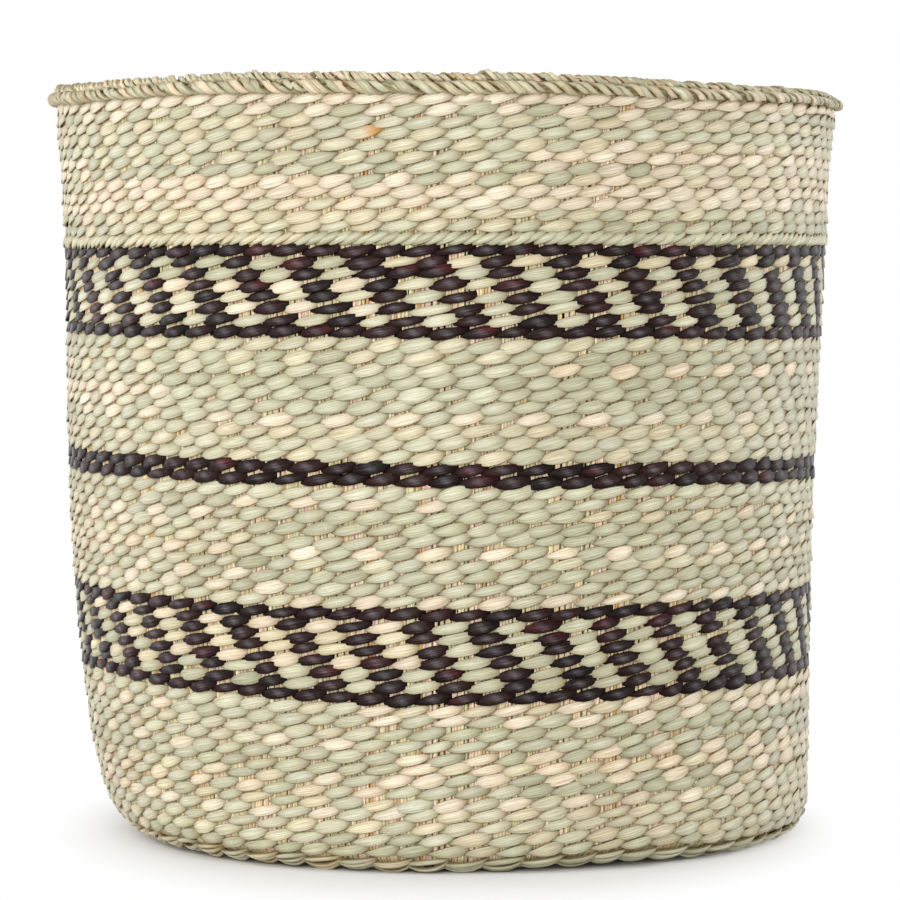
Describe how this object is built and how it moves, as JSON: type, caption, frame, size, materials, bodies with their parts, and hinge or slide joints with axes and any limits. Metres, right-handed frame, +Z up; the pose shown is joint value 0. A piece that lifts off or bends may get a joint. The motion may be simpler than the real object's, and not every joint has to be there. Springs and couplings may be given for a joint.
{
  "type": "grass basket",
  "caption": "Round open-topped twined grass basket with slightly flared natural rush walls, dark checked bands, a corded rim and a rounded woven foot.",
  "frame": {"origin": "middle of the ring that the basket stands on, at ground level", "axes": "+Z up along the axis of the basket, -Y towards the viewer of the picture, +X to the viewer's right"},
  "size_m": [0.3562, 0.3562, 0.3347],
  "materials": {
    "natural_rush": "dry flat rush, satin, sage to straw",
    "dark_rush": "dyed flat rush, satin, near black with wine-red flashes",
    "cord_rush": "narrow twisted rush, satin, straw",
    "stems": "fine dry grass stems, matt, tan to blush"
  },
  "bodies": {
    "root": {"base_start": "stems", "base_underside": "natural_rush", "base_floor": "natural_rush", "foot_wale": "cord_rush", "foot_field": "natural_rush", "lower_dark_band": "dark_rush", "lower_field": "natural_rush", "middle_dark_band": "dark_rush", "middle_field": "natural_rush", "upper_dark_band": "dark_rush", "wale_row": "cord_rush", "upper_field": "natural_rush", "stake_group_01": "stems", "stake_group_02": "stems", "stake_group_03": "stems", "stake_group_04": "stems", "stake_group_05": "stems", "stake_group_06": "stems", "stake_group_07": "stems", "stake_group_08": "stems", "stake_group_09": "stems", "stake_group_10": "stems", "stake_group_11": "stems", "stake_group_12": "stems", "stake_group_13": "stems", "stake_group_14": "stems", "stake_group_15": "stems", "stake_group_16": "stems", "stake_group_17": "stems", "stake_group_18": "stems", "stake_group_19": "stems", "stake_group_20": "stems", "stake_group_21": "stems", "stake_group_22": "stems", "stake_group_23": "stems", "stake_group_24": "stems", "border_outer_cord": "cord_rush", "border_inner_cord": "cord_rush", "border_top_cord": "cord_rush"}
  },
  "joints": []
}
